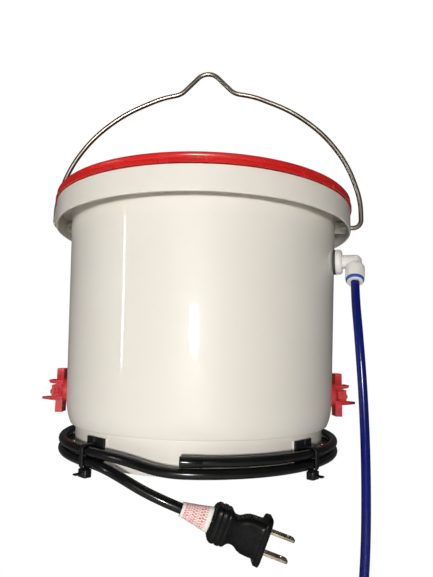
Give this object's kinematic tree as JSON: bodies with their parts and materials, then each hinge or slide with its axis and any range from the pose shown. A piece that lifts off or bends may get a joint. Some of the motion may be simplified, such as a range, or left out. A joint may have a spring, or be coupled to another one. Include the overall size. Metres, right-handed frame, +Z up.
{
  "type": "hanging heated poultry waterer",
  "caption": "Hanging plastic pail waterer with a press-on lid, wire bail, float-valve inlet with push-fit elbow and tube, side drinkers and a heat cable round the foot.",
  "frame": {"origin": "the hang point: the underside of the wire at the top of the bail's hump, where a hook carries the pail", "axes": "+Z up; +X through the right ear; -Y is the front, where the plug and the cable's end are"},
  "size_m": [0.271, 0.2462, 0.54],
  "materials": {
    "bright_wire": "bright drawn wire",
    "pail_plastic": "translucent, semi-gloss",
    "lid_red": "glossy",
    "drinker_red": "semi-gloss",
    "fitting_white": "semi-gloss",
    "clip_blue": "semi-gloss",
    "seal_rubber": "matte",
    "stainless": "polished",
    "float_plastic": "matte",
    "cable_black": "glossy jacket",
    "tie_black": "nylon",
    "foam_white": "closed-cell foam tape",
    "label_paper": null,
    "plug_black": "satin",
    "blade_metal": "tarnished",
    "tube_blue": "glossy"
  },
  "bodies": {
    "bail": {"bail_wire": "bright_wire"},
    "lid": {"lid": "lid_red", "lid_gasket": "seal_rubber"},
    "float_arm": {"float_arm": "float_plastic", "float_ball": "float_plastic"},
    "plunger": {"valve_plunger": "fitting_white", "valve_plunger_seal": "seal_rubber"},
    "pin_left": {"drinker_left_pin": "stainless"},
    "pin_right": {"drinker_right_pin": "stainless"},
    "pail": {"coil_tie": "tie_black", "collet_clip": "clip_blue", "coupling_body": "fitting_white", "coupling_collet_open": "fitting_white", "coupling_collet_tube": "fitting_white", "drinker_left_body": "drinker_red", "drinker_left_nut": "drinker_red", "drinker_left_seal": "seal_rubber", "drinker_left_washer_inner": "seal_rubber", "drinker_left_washer_outer": "seal_rubber", "drinker_right_body": "drinker_red", "drinker_right_nut": "drinker_red", "drinker_right_seal": "seal_rubber", "drinker_right_washer_inner": "seal_rubber", "drinker_right_washer_outer": "seal_rubber", "elbow_body": "fitting_white", "elbow_collet": "fitting_white", "elbow_oring": "seal_rubber", "float_lever_pin": "stainless", "heat_cable": "cable_black", "heat_cable_cap": "cable_black", "inlet_backnut": "fitting_white", "inlet_nut": "fitting_white", "inlet_stem": "fitting_white", "inlet_washer_inner": "seal_rubber", "inlet_washer_outer": "seal_rubber", "lead_label": "label_paper", "pail_shell": "pail_plastic", "plug_blade_lower": "blade_metal", "plug_blade_upper": "blade_metal", "plug_body": "plug_black", "power_lead": "cable_black", "supply_coil": "tube_blue", "supply_tail": "tube_blue", "supply_tube": "tube_blue", "tie_heads": "tie_black", "tie_mount_pads": "foam_white", "tie_mounts": "tie_black", "tie_straps": "tie_black", "valve_body": "fitting_white"}
  },
  "joints": [
    {"name": "bail_hinge", "type": "hinge", "parent": "bail", "child": "pail", "pos_m": [0, 0, -0.142], "axis": [1, 0, 0], "range_deg": [-95, 115]},
    {"name": "lid_lift", "type": "slide", "parent": "pail", "child": "lid", "axis": [0, 0, 1], "range_m": [0, 0.025]},
    {"name": "float_lever", "type": "hinge", "parent": "pail", "child": "float_arm", "pos_m": [0.07562, -0.01885, -0.188], "axis": [0.2419, 0.9703, 0], "range_deg": [0, 11.4]},
    {"name": "valve_plunger_slide", "type": "slide", "parent": "pail", "child": "plunger", "axis": [0.9703, -0.2419, 0], "range_m": [0, 0.0022]},
    {"name": "pin_left_tilt", "type": "hinge", "parent": "pail", "child": "pin_left", "pos_m": [-0.10948, -0.01151, -0.2831], "axis": [0.1045, -0.9945, 0], "range_deg": [-8, 4], "stiffness_Nm_per_rad": 0.02},
    {"name": "pin_right_tilt", "type": "hinge", "parent": "pail", "child": "pin_right", "pos_m": [0.10948, 0.01151, -0.2831], "axis": [-0.1045, 0.9945, 0], "range_deg": [-8, 4], "stiffness_Nm_per_rad": 0.02}
  ],
  "couplings": [
    {"joint": "valve_plunger_slide", "follows": "float_lever", "m_per_rad": 0.011}
  ]
}
